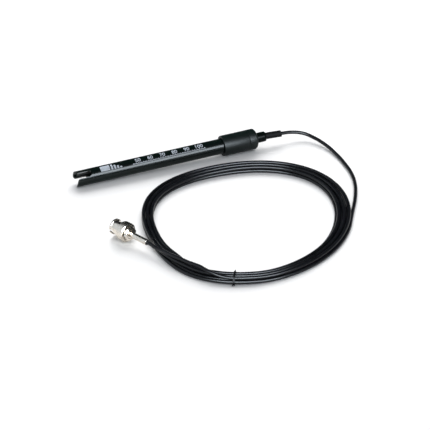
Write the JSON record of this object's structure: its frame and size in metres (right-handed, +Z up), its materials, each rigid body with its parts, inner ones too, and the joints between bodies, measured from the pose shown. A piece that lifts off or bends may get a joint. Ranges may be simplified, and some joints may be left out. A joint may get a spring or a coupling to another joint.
{
  "type": "water quality probe",
  "caption": "Laboratory conductivity electrode: a slotted black probe with a grip collar and strain relief, a long tied coaxial lead and a bayonet plug.",
  "frame": {"origin": "on the bench under the middle of the probe, half way from its tip to the end of its strain relief", "axes": "+X from the slotted tip to the cable end, +Z up, the probe lying as it rests on a bench"},
  "size_m": [0.2056, 0.1889, 0.0164],
  "materials": {
    "shaft_plastic": "glossy green-black moulded plastic",
    "collar_plastic": "fine-grained matt green-black plastic",
    "soft_rubber": "matt black",
    "cable_jacket": "satin black PVC",
    "tie_plastic": "satin black",
    "nickel": "bright nickel plate, slightly warm",
    "brass": "bright",
    "copper": "tinned copper wire",
    "graphite": "dull grey-black electrode coating",
    "white_plastic": "smooth white",
    "resin": "dark potting resin"
  },
  "bodies": {
    "electrode": {"body_tube": "shaft_plastic", "electrode_carrier": "resin", "electrode_plate_far": "graphite", "electrode_plate_near": "graphite", "electrode_lead_far": "copper", "electrode_lead_near": "copper", "solder_sleeve_far": "white_plastic", "solder_sleeve_near": "white_plastic", "potting_plug": "resin", "inner_cable": "cable_jacket", "collar_sleeve": "collar_plastic", "collar_o_ring": "soft_rubber", "end_cap": "collar_plastic", "gland_nut": "brass", "gland_nose": "shaft_plastic", "cable_grommet": "soft_rubber", "strain_relief_boot": "soft_rubber", "cable_lead": "cable_jacket", "cable_coil": "cable_jacket", "cable_tail": "cable_jacket", "cable_tie": "tie_plastic", "crimp_ferrule": "nickel", "plug_body": "nickel", "clamp_nut": "nickel", "retaining_ring": "nickel", "wave_washer": "nickel", "outer_contact": "nickel", "insulator": "white_plastic", "centre_pin": "brass", "mating_gasket": "soft_rubber"},
    "thrust_washer": {"thrust_washer": "nickel"},
    "coupling": {"coupling_sleeve": "nickel"}
  },
  "joints": [
    {"name": "coupling_slide", "type": "slide", "parent": "electrode", "child": "thrust_washer", "axis": [-0.3907, 0.9205, 0], "range_m": [0, 0.0008], "stiffness_N_per_m": 2000, "springref_m": -0.0005},
    {"name": "coupling_turn", "type": "hinge", "parent": "thrust_washer", "child": "coupling", "pos_m": [-0.0788, -0.08715, 0.00725], "axis": [-0.3907, 0.9205, 0], "continuous": true}
  ]
}
